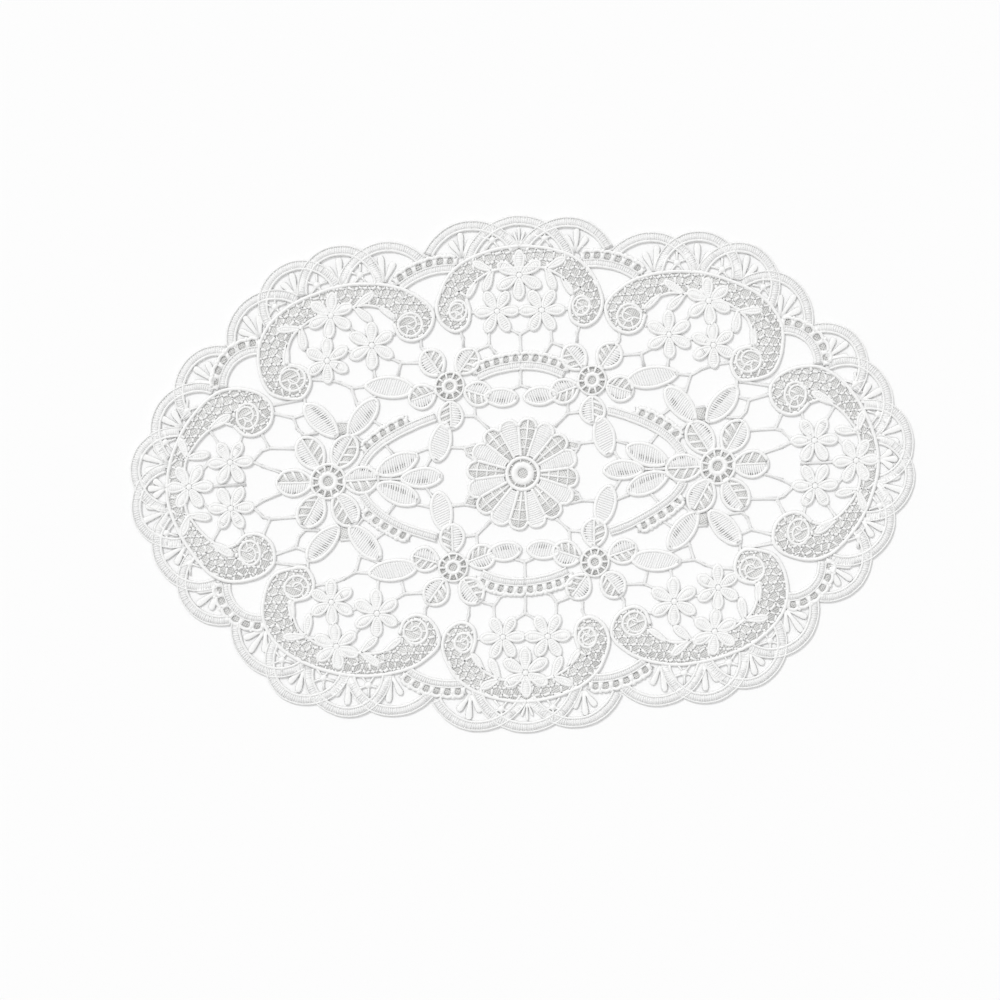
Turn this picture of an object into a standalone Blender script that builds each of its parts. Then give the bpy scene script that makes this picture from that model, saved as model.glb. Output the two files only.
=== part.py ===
# Oval guipure lace placemat, white, lying flat: one piece of embroidered lace cut through at its open gaps.
# Lengths in the tables are millimetres from the mat's centre, +X along its length and +Y across it.
# The lace repeats in four mirrored quarters, so the tables hold the quarter with negative X and positive Y.

import math
from collections import defaultdict, namedtuple

import bpy
from mathutils import Vector
from mathutils.geometry import delaunay_2d_cdt

# Driving sizes
MM = 0.001
CLOTH_THICKNESS = 1.2
PETAL_RISE = 0.5
FLOWER_EYE_RISE = 0.8
SKEW = math.tan(math.radians(1.2))

# Widths of the embroidered lines
BAND_WIDTH = 6.0
INNER_BAND_WIDTH = 5.2
CORD_WIDTH = 1.7
BAR_WIDTH = 1.6
BEAD_ROW_WIDTH = 5.2
FAN_RAY_WIDTH = 2.4

# What is cut through and how finely
LEAST_GAP = 4.0
MOST_GAPS = 300
CURVE_STEP = 2.2
LEAST_CORNER_AREA = 3.8
RAISED_CLEARANCE = 1.0
GRID_CELL = 6.0
POINT_MERGE = 1e-4

LACE_COLOUR = (0.93, 0.93, 0.92, 1.0)
LACE_ROUGHNESS = 0.85

Arch = namedtuple("Arch", "name centre_x centre_y radius start_deg end_deg")
ARCHES = [
    Arch("top_middle", 0, 116.5, 29.8, 14, 166),
    Arch("top_side", -27, 116.5, 27.8, 27, 155),
    Arch("shoulder_inner", -76, 107.4, 26.7, 41, 167),
    Arch("shoulder_middle", -103, 110.7, 22.6, 6, 188),
    Arch("shoulder_outer", -125.7, 103.3, 22.4, 18, 211),
    Arch("shoulder_end", -142, 84, 24.9, 58, 192),
    Arch("flank_start", -175, 55, 22.9, 78, 221),
    Arch("flank_middle", -187, 33, 24.6, 68, 222),
    Arch("end_pair", -201, 10, 22.3, 82, 255),
]

LINKS = [
    Arch("upper_link", -42, 78, 41.8, 83, 129),
    Arch("side_link", -152.5, 57.5, 19.7, 86, 182),
]
LINK_BEAD_OFFSET = 4.9

Scroll = namedtuple("Scroll", "name outer inner")
SCROLLS = [
    Scroll(
        "top_scroll",
        outer=[
            (0, 131.3), (-12, 130.3), (-22, 127.8), (-32, 123.3), (-40, 116.5), (-45, 108), (-48, 98),
            (-45.5, 89), (-38, 84), (-31, 87), (-29, 94.5), (-31, 102),
        ],
        inner=[(-28, 107.5), (-24, 113), (-15, 118), (-7, 119), (0, 119)],
    ),
    Scroll(
        "shoulder_scroll",
        outer=[
            (-72.5, 89.5), (-69.5, 82), (-63, 79), (-55, 82), (-50.5, 89), (-50.5, 96.5), (-57, 103.5),
            (-67, 109.3), (-80, 112.5), (-94, 113.2), (-108, 111.3), (-122, 107), (-134, 101), (-144, 92.5),
            (-150, 82), (-151.3, 71), (-149, 59.5), (-144, 52), (-135, 49.2), (-126, 49.5), (-121.5, 58),
            (-124.5, 66), (-133.5, 68.3),
        ],
        inner=[
            (-134.3, 75), (-132, 83), (-127, 89), (-118, 95), (-109, 97), (-98, 99.5), (-88, 100.7),
            (-79, 98.5), (-73.5, 93),
        ],
    ),
    Scroll(
        "end_scroll",
        outer=[
            (-205.5, 0), (-204.7, 9), (-201.5, 20.5), (-196, 32), (-188, 43), (-180, 51), (-171, 55.3),
            (-160, 55), (-149.5, 51), (-144, 44), (-145.5, 34.5), (-152, 29), (-160, 29), (-166, 34.5),
        ],
        inner=[(-173, 36.5), (-182, 31), (-189, 23.5), (-194, 15.5), (-195, 8), (-195, 0)],
    ),
]

# The oval frame: an elliptical band on each side, and a circular one at top and bottom.
FRAME_HALF_LENGTH = 94.2
FRAME_HALF_WIDTH = 41.0
FRAME_START_DEG = 122
FRAME_END_DEG = 169
FRAME_BEAD_OFFSET = 4.7
FRAME_BEAD_START_DEG = 135
FRAME_BEAD_END_DEG = 158
FRAME_CAP = Arch("frame_cap", 0, 7.5, 55, 90, 117)

Flower = namedtuple("Flower", "name centre_x centre_y petals reach petal_width start_deg")
BIG_FLOWERS = [
    Flower("side_flower", -112.5, 0, 6, 30, 17, 0),
    Flower("upper_flower", -41, 52.3, 5, 25.5, 16, 54),
]
FLOWER_EYE_RADIUS = 10.8
FLOWER_HOLE_RADIUS = 2.4

FLORETS = [
    Flower("top_floret", 0, 114.7, 6, 13.6, 6.2, 90),
    Flower("top_pair_floret", -13, 94, 6, 12.6, 6.2, 0),
    Flower("shoulder_high_floret", -109.3, 95.5, 6, 12.9, 6.2, 25),
    Flower("shoulder_low_floret", -111.3, 69.8, 6, 12.6, 6.2, 30),
    Flower("shoulder_inner_floret", -86, 77, 6, 13.2, 6.2, 30),
    Flower("end_floret", -192.5, 0, 6, 12.9, 6.2, 0),
    Flower("end_pair_floret", -168.5, 13, 6, 12.7, 6.2, 0),
]
FLORET_EYE_RADIUS = 3.2

ROSETTE_PETALS = 16
ROSETTE_REACH = 32.5
ROSETTE_TURN_DEG = 16
ROSETTE_PETAL_WIDTH = 12.8
ROSETTE_DISC_RADIUS = 24.0

Leaf = namedtuple("Leaf", "name base_x base_y tip_x tip_y width")
LEAVES = [
    Leaf("side_flower_left", -107.5, 26, -124.3, 44.7, 13.5),
    Leaf("side_flower_right", -100, 26.5, -84, 46, 13.5),
    Leaf("long_leaf", -89.5, 54.2, -62.5, 51.5, 13.5),
    Leaf("trio_upper", -83.3, 3.6, -60.6, 12.8, 13.5),
    Leaf("trio_middle", -69.5, 0, -46.5, 0, 12.5),
    Leaf("frame_leaf", -44.8, 31, -49.2, 9, 13.5),
    Leaf("cap_leaf", -20.5, 45.3, -2.2, 43.7, 12),
]

SPRAY_LEAVES = [
    Leaf("top_spray_side", -15.3, 118, -26, 123, 4.6),
    Leaf("top_spray_down", -15.3, 118, -20, 105, 4.8),
    Leaf("top_spray_stem", -24.5, 112, -30.5, 103, 3.6),
    Leaf("shoulder_spray_side", -126.5, 89, -139.5, 88.7, 4.6),
    Leaf("shoulder_spray_down", -126.5, 89, -124.5, 77, 4.8),
    Leaf("shoulder_spray_stem", -134.3, 80, -135.2, 68.5, 3.6),
    Leaf("shoulder_inner_side", -95.5, 99.7, -84.5, 107.5, 4.6),
    Leaf("shoulder_inner_down", -95.5, 99.7, -86.3, 91.5, 4.8),
    Leaf("shoulder_inner_stem", -81.5, 100, -72, 92.8, 3.6),
    Leaf("end_spray_side", -193.3, 17, -197.3, 28, 4.6),
    Leaf("end_spray_down", -193.3, 17, -181, 18.3, 4.8),
    Leaf("end_spray_stem", -180.5, 33, -168.5, 40.5, 5.2),
]

# Thin bars that tie the motifs together, each a route of points
BARS = [
    [(-34.5, 84), (-33, 80), (-33, 75)],
    [(-17.8, 83.3), (-18, 75.2), (-24, 73), (-27, 71)],
    [(-18, 75.2), (-14.5, 70.5), (-11, 68.5)],
    [(-6, 83.8), (0, 80.3), (6, 83.8)],
    [(0, 80.3), (0, 68)],
    [(-3, 94.2), (3, 94.2)],
    [(-25, 94), (-29, 94.3)],
    [(-57.5, 80.5), (-57.2, 75), (-55, 72.5)],
    [(-58, 66.3), (-69.5, 66.5), (-77, 70)],
    [(-69.5, 66.5), (-71, 59.5)],
    [(-85.5, 66), (-84.5, 58.5)],
    [(-75.5, 83.5), (-72, 83)],
    [(-5.5, 49), (0, 51), (5.5, 49)],
    [(0, 51), (0, 61)],
    [(-33.5, 34.5), (-26.7, 34), (-19, 26.5)],
    [(-26.7, 41), (-26.7, 34)],
    [(-41.5, 16.8), (-33.5, 16.2), (-27, 17.8)],
    [(-33.5, 16.2), (-31.5, 12), (-27, 8.5)],
    [(-53.5, 17), (-61, 14.8)],
    [(-56, 5.5), (-52.5, 11)],
    [(-74, 14.5), (-78.7, 20.3)],
    [(-89.5, 8.5), (-84, 4)],
    [(-86, 34.5), (-80, 30.3)],
    [(-97, 27), (-92.5, 22.3), (-87.5, 21)],
    [(-110.5, 58.5), (-104, 56.5), (-97.7, 53.3), (-89, 54.3)],
    [(-97.7, 53.3), (-95, 44), (-93, 42)],
    [(-95, 44.3), (-88, 46.8), (-82, 49.5)],
    [(-112, 58.7), (-121.5, 59.8)],
    [(-125, 49.5), (-124.5, 43)],
    [(-124.5, 40), (-131.5, 37.4), (-143.5, 40.5)],
    [(-131.5, 37.4), (-129.5, 31), (-126, 27.5), (-118, 28)],
    [(-150.5, 29.5), (-146, 20.3), (-130.5, 19.8)],
    [(-146, 20.3), (-150, 19), (-156, 13)],
    [(-156, 13), (-150, 9.7), (-139.5, 6)],
    [(-163.3, 23), (-161.5, 29)],
    [(-174.5, 23), (-180.3, 32)],
    [(-98.7, 88.5), (-95.8, 85)],
    [(-101, 75), (-97, 73.5)],
    [(-86, 89), (-86.3, 92.5)],
    [(-124.5, 78.5), (-121, 75.5)],
    [(-121.5, 64.5), (-125, 66)],
    [(-120.5, 91), (-127, 89)],
    [(-106, 34), (-99, 34)],
    [(-84, 0), (-68.5, 0)],
    [(-181, 0), (-160, 0)],
    [(-181, 13.5), (-186, 8)],
    [(-9.5, 108.5), (-7, 104)],
    [(-144.5, 45), (-126, 48.3)],
]

# Rays that stand in the arches' openings: foot, then the way that the ray points
Ray = namedtuple("Ray", "foot_x foot_y aim_deg length")
FAN_RAYS = [
    Ray(0, 131, 90, 12),
    Ray(-32.5, 126, 95, 15),
    Ray(-78, 113, 97, 17),
    Ray(-103, 113, 92, 17),
    Ray(-128.5, 107, 103, 15),
    Ray(-150, 84, 126, 17),
    Ray(-176.5, 60, 146, 16),
    Ray(-195.5, 34, 152, 15),
    Ray(-204, 13, 160, 18),
    Ray(-206, 0, 180, 11),
]

RAISED_LEAF_PARTS = (0.5,)


def arc_points(centre_x, centre_y, radius, start_deg, end_deg, step=CURVE_STEP):
    """Points on a circle, evenly spaced at about the given step."""
    sweep = math.radians(end_deg - start_deg)
    count = max(2, round(abs(sweep) * radius / step))
    start = math.radians(start_deg)
    return [
        (centre_x + radius * math.cos(start + sweep * i / count),
         centre_y + radius * math.sin(start + sweep * i / count))
        for i in range(count + 1)
    ]


def ellipse_points(offset, start_deg, end_deg):
    """Points along the oval frame, moved outwards by the offset."""
    count = 14
    points = []
    for i in range(count + 1):
        turn = math.radians(start_deg + (end_deg - start_deg) * i / count)
        normal = Vector((math.cos(turn) / FRAME_HALF_LENGTH, math.sin(turn) / FRAME_HALF_WIDTH)).normalized()
        points.append((
            FRAME_HALF_LENGTH * math.cos(turn) + offset * normal.x,
            FRAME_HALF_WIDTH * math.sin(turn) + offset * normal.y,
        ))
    return points


def smooth(points, step=CURVE_STEP):
    """An open curve through the given points (Catmull-Rom)."""
    ends = [points[0]] + list(points) + [points[-1]]
    made = []
    for i in range(1, len(ends) - 2):
        before, a, b, after = (Vector(p) for p in ends[i - 1:i + 3])
        pieces = max(1, round((b - a).length / step))
        for k in range(pieces):
            t = k / pieces
            made.append(tuple(
                0.5 * (2 * a + (b - before) * t + (2 * before - 5 * a + 4 * b - after) * t ** 2
                       + (3 * a - before - 3 * b + after) * t ** 3)
            ))
    made.append(tuple(points[-1]))
    return made


def stroke(points, width):
    """The polygon of a line of that width with square ends."""
    route = [Vector(p) for p in points]
    left, right = [], []
    for i, point in enumerate(route):
        ahead = route[min(i + 1, len(route) - 1)] - point
        behind = point - route[max(i - 1, 0)]
        way = (ahead.normalized() + behind.normalized()).normalized()
        side = Vector((-way.y, way.x)) * (width / 2)
        left.append(tuple(point + side))
        right.append(tuple(point - side))
    return left + right[::-1]


def leaf_shape(base, tip, width, fullness, points_per_side, widest=0.5):
    """A leaf or petal from base to tip, with more points at its ends. Less fullness makes them rounder."""
    base, tip = Vector(base), Vector(tip)
    along = tip - base
    side = Vector((-along.y, along.x)).normalized()
    bend = math.log(0.5) / math.log(widest)
    upper, lower = [], []
    for i in range(points_per_side + 1):
        t = (1 - math.cos(math.pi * i / points_per_side)) / 2
        half = width / 2 * math.sin(math.pi * t ** bend) ** fullness if 0 < i < points_per_side else 0.3
        middle = base + along * t
        upper.append(tuple(middle + side * half))
        lower.append(tuple(middle - side * half))
    return upper + lower[::-1]


def circle_shape(centre, radius, sides):
    """A regular polygon."""
    return [
        (centre[0] + radius * math.cos(math.tau * i / sides),
         centre[1] + radius * math.sin(math.tau * i / sides))
        for i in range(sides)
    ]


def petal_ends(flower, inner_radius):
    """Root and tip of each petal of a flower."""
    ends = []
    for k in range(flower.petals):
        turn = math.radians(flower.start_deg + 360 / flower.petals * k)
        way = Vector((math.cos(turn), math.sin(turn)))
        centre = Vector((flower.centre_x, flower.centre_y))
        ends.append((centre + way * inner_radius, centre + way * flower.reach))
    return ends


def quarter_shapes():
    """All the polygons of one quarter, and the points where the cloth is raised."""
    shapes, raised = [], []
    for arch in ARCHES:
        shapes.append(stroke(arc_points(*arch[1:]), BAND_WIDTH))
    for link in LINKS + [FRAME_CAP]:
        shapes.append(stroke(arc_points(*link[1:]), INNER_BAND_WIDTH))
        bead_radius = link.radius + LINK_BEAD_OFFSET
        beads = arc_points(link.centre_x, link.centre_y, bead_radius, link.start_deg, link.end_deg)
        shapes.append(stroke(beads, BEAD_ROW_WIDTH))
    shapes.append(stroke(ellipse_points(0, FRAME_START_DEG, FRAME_END_DEG), INNER_BAND_WIDTH))
    beads = ellipse_points(FRAME_BEAD_OFFSET, FRAME_BEAD_START_DEG, FRAME_BEAD_END_DEG)
    shapes.append(stroke(beads, BEAD_ROW_WIDTH))
    for scroll in SCROLLS:
        shapes.append(smooth(scroll.outer) + smooth(scroll.inner))
        shapes.append(stroke(smooth(scroll.outer), CORD_WIDTH))
    for flower in BIG_FLOWERS:
        centre = (flower.centre_x, flower.centre_y)
        shapes.append(circle_shape(centre, FLOWER_EYE_RADIUS, 24))
        raised += [(p, FLOWER_EYE_RISE) for p in circle_shape(centre, FLOWER_HOLE_RADIUS * 2, 6)]
        for root, tip in petal_ends(flower, FLOWER_EYE_RADIUS - 2):
            shapes.append(leaf_shape(root, tip, flower.petal_width, 0.55, 10, widest=0.54))
            raised += [(root.lerp(tip, part), PETAL_RISE) for part in RAISED_LEAF_PARTS]
    for floret in FLORETS:
        centre = (floret.centre_x, floret.centre_y)
        shapes.append(circle_shape(centre, FLORET_EYE_RADIUS, 12))
        raised.append((centre, FLOWER_EYE_RISE))
        for root, tip in petal_ends(floret, 0):
            shapes.append(leaf_shape(root, tip, floret.petal_width, 0.75, 7, widest=0.62))
            raised.append((root.lerp(tip, 0.62), PETAL_RISE))
    for leaf in LEAVES:
        base, tip = Vector((leaf.base_x, leaf.base_y)), Vector((leaf.tip_x, leaf.tip_y))
        shapes.append(leaf_shape(base, tip, leaf.width, 0.52, 11))
        raised += [(base.lerp(tip, part), PETAL_RISE) for part in RAISED_LEAF_PARTS]
    for leaf in SPRAY_LEAVES:
        base, tip = Vector((leaf.base_x, leaf.base_y)), Vector((leaf.tip_x, leaf.tip_y))
        shapes.append(leaf_shape(base, tip, leaf.width, 0.8, 6))
        raised.append((base.lerp(tip, 0.5), PETAL_RISE))
    for bar in BARS:
        shapes.append(stroke(bar, BAR_WIDTH))
    for ray in FAN_RAYS:
        turn = math.radians(ray.aim_deg)
        tip = (ray.foot_x + ray.length * math.cos(turn), ray.foot_y + ray.length * math.sin(turn))
        shapes.append(stroke([(ray.foot_x, ray.foot_y), tip], FAN_RAY_WIDTH))
    return shapes, raised


def mirrored(point, flip_x, flip_y):
    """The same point in another quarter."""
    return (-point[0] if flip_x else point[0], -point[1] if flip_y else point[1])


def whole_mat():
    """The polygons and raised points of all four quarters and of the rosette, each once."""
    shapes, raised = quarter_shapes()
    all_shapes, all_raised = {}, {}
    for flip_x in (False, True):
        for flip_y in (False, True):
            for shape in shapes:
                moved = [mirrored(p, flip_x, flip_y) for p in shape]
                middle = tuple(round(sum(p[axis] for p in moved) / len(moved), 2) for axis in (0, 1))
                all_shapes[middle, len(moved)] = moved
            for point, rise in raised:
                moved = mirrored(point, flip_x, flip_y)
                all_raised[tuple(round(c, 2) for c in moved)] = rise
    rosette = Flower("rosette", 0, 0, ROSETTE_PETALS, ROSETTE_REACH, ROSETTE_PETAL_WIDTH, ROSETTE_TURN_DEG)
    made = list(all_shapes.values())
    made.append(circle_shape((0, 0), ROSETTE_DISC_RADIUS, 32))
    for root, tip in petal_ends(rosette, 11):
        made.append(leaf_shape(root, tip, rosette.petal_width, 0.6, 9, widest=0.68))
        all_raised[tuple(root.lerp(tip, 0.7))] = PETAL_RISE
    for point in circle_shape((0, 0), 9.5, 8):
        all_raised[point] = FLOWER_EYE_RISE
    return made, all_raised


def anticlockwise(shape):
    """The polygon's points in anticlockwise order."""
    points = [Vector(p) for p in shape]
    twice_area = sum(points[i - 1].cross(point) for i, point in enumerate(points))
    return points if twice_area > 0 else points[::-1]


def joined_triangles(shapes):
    """Triangles over all the polygons: the points, the triangles, and which of them are cloth."""
    points, faces = [], []
    for shape in shapes:
        faces.append(list(range(len(points), len(points) + len(shape))))
        points += anticlockwise(shape)
    found = delaunay_2d_cdt(points, [], faces, 0, POINT_MERGE)
    corners, triangles, sources = found[0], found[2], found[5]
    return corners, triangles, [bool(source) for source in sources]


def edges_of(triangle):
    """The three directed edges of a triangle."""
    return [(triangle[i], triangle[(i + 1) % 3]) for i in range(3)]


def neighbours_of(triangles):
    """Each triangle's neighbours, and the triangles on the outer rim."""
    owner = {}
    for number, triangle in enumerate(triangles):
        for edge in edges_of(triangle):
            owner[edge] = number
    beside = [[] for _ in triangles]
    rim = set()
    for (a, b), number in owner.items():
        if (b, a) in owner:
            beside[number].append(owner[b, a])
        else:
            rim.add(number)
    return beside, rim


def area_of(points, triangle):
    """The signed area of a triangle."""
    a, b, c = (points[i] for i in triangle)
    return (b - a).cross(c - a) / 2


def open_regions(points, triangles, cloth):
    """Each connected open region as its triangles, and whether it reaches the rim."""
    beside, rim = neighbours_of(triangles)
    seen = set()
    regions = []
    for start in range(len(triangles)):
        if cloth[start] or start in seen:
            continue
        todo, region = [start], []
        seen.add(start)
        while todo:
            number = todo.pop()
            region.append(number)
            for other in beside[number]:
                if not cloth[other] and other not in seen:
                    seen.add(other)
                    todo.append(other)
        regions.append((region, any(number in rim for number in region)))
    return regions


def gap_width(points, triangles, region):
    """About how wide an open region is: four times its area over its edge length."""
    inside = set()
    for number in region:
        inside.update(edges_of(triangles[number]))
    edge_length = sum((points[a] - points[b]).length for a, b in inside if (b, a) not in inside)
    return 4 * sum(area_of(points, triangles[number]) for number in region) / edge_length


def close_small_gaps(points, triangles, cloth):
    """Fills the gaps that are narrower than the least one, and all past the most that are cut."""
    gaps = []
    for region, on_rim in open_regions(points, triangles, cloth):
        if not on_rim:
            gaps.append((gap_width(points, triangles, region), region))
    gaps.sort(key=lambda gap: -gap[0])
    for place, (width, region) in enumerate(gaps):
        if width < LEAST_GAP or place >= MOST_GAPS:
            for number in region:
                cloth[number] = True
    return sum(1 for width, _ in gaps[:MOST_GAPS] if width >= LEAST_GAP)


def border_edges(triangles, cloth):
    """The directed edges between cloth and open, with the cloth on their left."""
    inside = set()
    for number, triangle in enumerate(triangles):
        if cloth[number]:
            inside.update(edges_of(triangle))
    return [(a, b) for a, b in inside if (b, a) not in inside]


def close_pinches(triangles, cloth):
    """Fills round each point where two openings only just touch."""
    while True:
        starts = defaultdict(int)
        for a, _ in border_edges(triangles, cloth):
            starts[a] += 1
        pinched = {point for point, count in starts.items() if count > 1}
        if not pinched:
            return
        for number, triangle in enumerate(triangles):
            if not cloth[number] and pinched.intersection(triangle):
                cloth[number] = True


def border_loops(triangles, cloth):
    """The outline and the openings' edges, each a closed loop of point numbers."""
    after = dict(border_edges(triangles, cloth))
    loops = []
    while after:
        start, point = after.popitem()
        loop = [start]
        while point != start:
            loop.append(point)
            point = after.pop(point)
        loops.append(loop)
    return loops


def cell_of(point):
    """The square of a coarse grid that a point is in."""
    return math.floor(point.x / GRID_CELL), math.floor(point.y / GRID_CELL)


def points_by_cell(loops):
    """All the loops' points, found by their square."""
    cells = defaultdict(list)
    for loop in loops:
        for point in loop:
            cells[cell_of(point)].append(point)
    return cells


def holds_a_point(a, b, c, cells):
    """Whether some other border point lies in the triangle, so that cutting it off would cross an edge."""
    low = cell_of(Vector((min(a.x, b.x, c.x), min(a.y, b.y, c.y))))
    high = cell_of(Vector((max(a.x, b.x, c.x), max(a.y, b.y, c.y))))
    for column in range(low[0], high[0] + 1):
        for row in range(low[1], high[1] + 1):
            for point in cells.get((column, row), ()):
                if min((point - corner).length for corner in (a, b, c)) < POINT_MERGE:
                    continue
                turns = ((b - a).cross(point - a), (c - b).cross(point - b), (a - c).cross(point - c))
                if min(turns) >= 0 or max(turns) <= 0:
                    return True
    return False


def thinned(points, least_corner, cells):
    """The closed loop without the points whose corners cover less than that area."""
    kept = list(points)
    while len(kept) > 4:
        corners = sorted(
            (abs((kept[(i + 1) % len(kept)] - kept[i - 1]).cross(point - kept[i - 1])) / 2, i)
            for i, point in enumerate(kept)
        )
        for corner, index in corners:
            if corner > least_corner:
                return kept
            after = kept[(index + 1) % len(kept)]
            if corner < POINT_MERGE or not holds_a_point(kept[index - 1], kept[index], after, cells):
                del kept[index]
                break
        else:
            return kept
    return kept


def inside_loops(point, loops):
    """Whether a point is cloth: an odd number of loops' edges lie to its right."""
    crossings = 0
    for loop in loops:
        for i, a in enumerate(loop):
            b = loop[i - 1]
            if (a.y > point.y) != (b.y > point.y):
                crossings += point.x < a.x + (point.y - a.y) / (b.y - a.y) * (b.x - a.x)
    return crossings % 2 == 1


def filled(loops, extra_points):
    """Triangles between the loops. The loops' points come first, in order."""
    points, edges = [], []
    for loop in loops:
        first = len(points)
        points += loop
        edges += [(first + i, first + (i + 1) % len(loop)) for i in range(len(loop))]
    points += [Vector(p) for p in extra_points]
    found = delaunay_2d_cdt(points, edges, [], 0, POINT_MERGE / 10)
    corners, triangles = found[0], found[2]
    assert len(corners) == len(points), "the loops cross or touch"
    kept = []
    for triangle in triangles:
        middle = sum((corners[i] for i in triangle), Vector((0, 0))) / 3
        if inside_loops(middle, loops):
            kept.append(tuple(triangle))
    return kept


def clear_of_loops(point, loops, clearance):
    """Whether a raised point lies well inside the cloth."""
    place = Vector(point)
    if not inside_loops(place, loops):
        return False
    return all((place - other).length > clearance for loop in loops for other in loop)


def skewed(x, y, z):
    """A point of the mat as it lies, a little out of square, in metres."""
    return ((x + y * SKEW) * MM, y * MM, z * MM)


def build_mat():
    """Makes the lace mat as one closed solid with a flat underside."""
    shapes, raised = whole_mat()
    corners, triangles, cloth = joined_triangles(shapes)
    gap_count = close_small_gaps(corners, triangles, cloth)
    close_pinches(triangles, cloth)
    full_loops = [[corners[i] for i in loop] for loop in border_loops(triangles, cloth)]
    cells = points_by_cell(full_loops)
    loops = [thinned(loop, LEAST_CORNER_AREA, cells) for loop in full_loops]
    border_count = sum(len(loop) for loop in loops)
    tops = [(point, rise) for point, rise in raised.items() if clear_of_loops(point, loops, RAISED_CLEARANCE)]
    upper = filled(loops, [point for point, _ in tops])
    lower = filled(loops, [])
    flat = [point for loop in loops for point in loop]
    vertices = [skewed(p.x, p.y, CLOTH_THICKNESS) for p in flat]
    vertices += [skewed(*point, CLOTH_THICKNESS + rise) for point, rise in tops]
    underside = len(vertices)
    vertices += [skewed(p.x, p.y, 0) for p in flat]
    faces = list(upper)
    faces += [(c + underside, b + underside, a + underside) for a, b, c in lower]
    first = 0
    for loop in loops:
        for i in range(len(loop)):
            a, b = first + i, first + (i + 1) % len(loop)
            faces.append((a, a + underside, b + underside))
            faces.append((a, b + underside, b))
        first += len(loop)
    print("gaps cut", gap_count, "border points", border_count, "triangles", len(faces))
    mesh = bpy.data.meshes.new("lace_mat")
    mesh.from_pydata(vertices, [], faces)
    mesh.validate()
    return mesh


def lace_material():
    """White polyester embroidery thread."""
    material = bpy.data.materials.new("white_lace")
    material.use_nodes = True
    shader = material.node_tree.nodes["Principled BSDF"]
    shader.inputs["Base Color"].default_value = LACE_COLOUR
    shader.inputs["Roughness"].default_value = LACE_ROUGHNESS
    shader.inputs["Metallic"].default_value = 0.0
    return material


def main():
    for old in list(bpy.data.objects):
        bpy.data.objects.remove(old)
    mesh = build_mat()
    mesh.materials.append(lace_material())
    mat = bpy.data.objects.new("lace_mat", mesh)
    bpy.context.scene.collection.objects.link(mat)


main()
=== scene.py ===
import math
import random
from collections import namedtuple

import bpy
from mathutils import Euler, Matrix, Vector, noise
from mathutils.geometry import delaunay_2d_cdt


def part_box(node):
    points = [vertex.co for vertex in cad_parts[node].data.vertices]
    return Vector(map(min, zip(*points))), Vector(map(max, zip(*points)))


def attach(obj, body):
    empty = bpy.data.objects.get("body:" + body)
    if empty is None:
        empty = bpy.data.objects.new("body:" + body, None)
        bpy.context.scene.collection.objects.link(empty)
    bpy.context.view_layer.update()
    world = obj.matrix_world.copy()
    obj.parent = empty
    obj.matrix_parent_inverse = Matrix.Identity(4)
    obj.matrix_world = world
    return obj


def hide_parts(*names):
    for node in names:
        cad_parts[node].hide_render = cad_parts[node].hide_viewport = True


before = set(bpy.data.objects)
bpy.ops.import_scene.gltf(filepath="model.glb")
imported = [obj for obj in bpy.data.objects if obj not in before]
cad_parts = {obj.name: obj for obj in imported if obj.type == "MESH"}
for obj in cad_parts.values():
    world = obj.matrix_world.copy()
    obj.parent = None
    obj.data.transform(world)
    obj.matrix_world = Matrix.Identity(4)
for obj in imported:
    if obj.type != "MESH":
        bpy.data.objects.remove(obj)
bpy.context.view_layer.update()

# The tables are in millimetres from the mat's centre, for the quarter with negative X and positive Y.
# The lace repeats in four mirrored quarters. What lies on an axis is made once.
matLow, matHigh = (Vector(corner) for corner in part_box("lace_mat"))
tableLength = 452.9
unit = (matHigh.x - matLow.x) / tableLength
matCentre = (matLow + matHigh) / 2
skew = math.tan(math.radians(1.2))
onAxis = 0.6

# Small unevenness, so that no two motifs are quite alike
drift = {"size": 0.75, "scale": 26.0, "fineSize": 0.16, "fineScale": 5.0, "seed": 7}
noise.seed_set(drift["seed"])

# Heights above the table. The cloth under a cord is narrower than the cord by the inset.
cloth = {"under": 0.05, "ground": 0.75, "merge": 1e-4, "inset": 0.3, "slimInset": 0.2}
cords = {"step": 1.6, "sides": 4, "roundSides": 6, "leafSteps": 14, "leafTip": 0.04, "shortestBar": 0.2}

Arc = namedtuple("Arc", "centreX centreY radius startDeg endDeg")
Motif = namedtuple("Motif", "centreX centreY petals reach width startDeg")
Leaf = namedtuple("Leaf", "baseX baseY tipX tipY width style", defaults=("satin",))
Ray = namedtuple("Ray", "footX footY aimDeg length")


class Lacework:
    # One piece's points and faces in millimetres, already copied into the quarters where they belong
    def __init__(self):
        self.points = []
        self.faces = []

    def add(self, points, faces, middle=None):
        for flipX, flipY in quartersFor(middle or averageOf(points)):
            first = len(self.points)
            self.points += [(x * flipX, y * flipY, z) for x, y, z in points]
            for face in faces:
                moved = tuple(first + i for i in face)
                self.faces.append(moved[::-1] if flipX * flipY < 0 else moved)


def quartersFor(middle):
    # The flips that copy a shape, known by its middle, into the quarters where it belongs
    flipsX, flipsY = ((1, -1) if abs(middle[axis]) > onAxis else (1,) for axis in (0, 1))
    return [(flipX, flipY) for flipX in flipsX for flipY in flipsY]


def averageOf(points):
    return tuple(sum(p[axis] for p in points) / len(points) for axis in (0, 1))


def placed(x, y, z):
    # The point as it lies on the table, in metres
    spot = Vector((x, y, 0))
    wander = noise.noise_vector(spot / drift["scale"]) * drift["size"]
    wander += noise.noise_vector(spot / drift["fineScale"]) * drift["fineSize"]
    x, y = x + wander.x, y + wander.y
    return (matCentre.x + (x + y * skew) * unit, matCentre.y + y * unit, matLow.z + z * unit)


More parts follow.
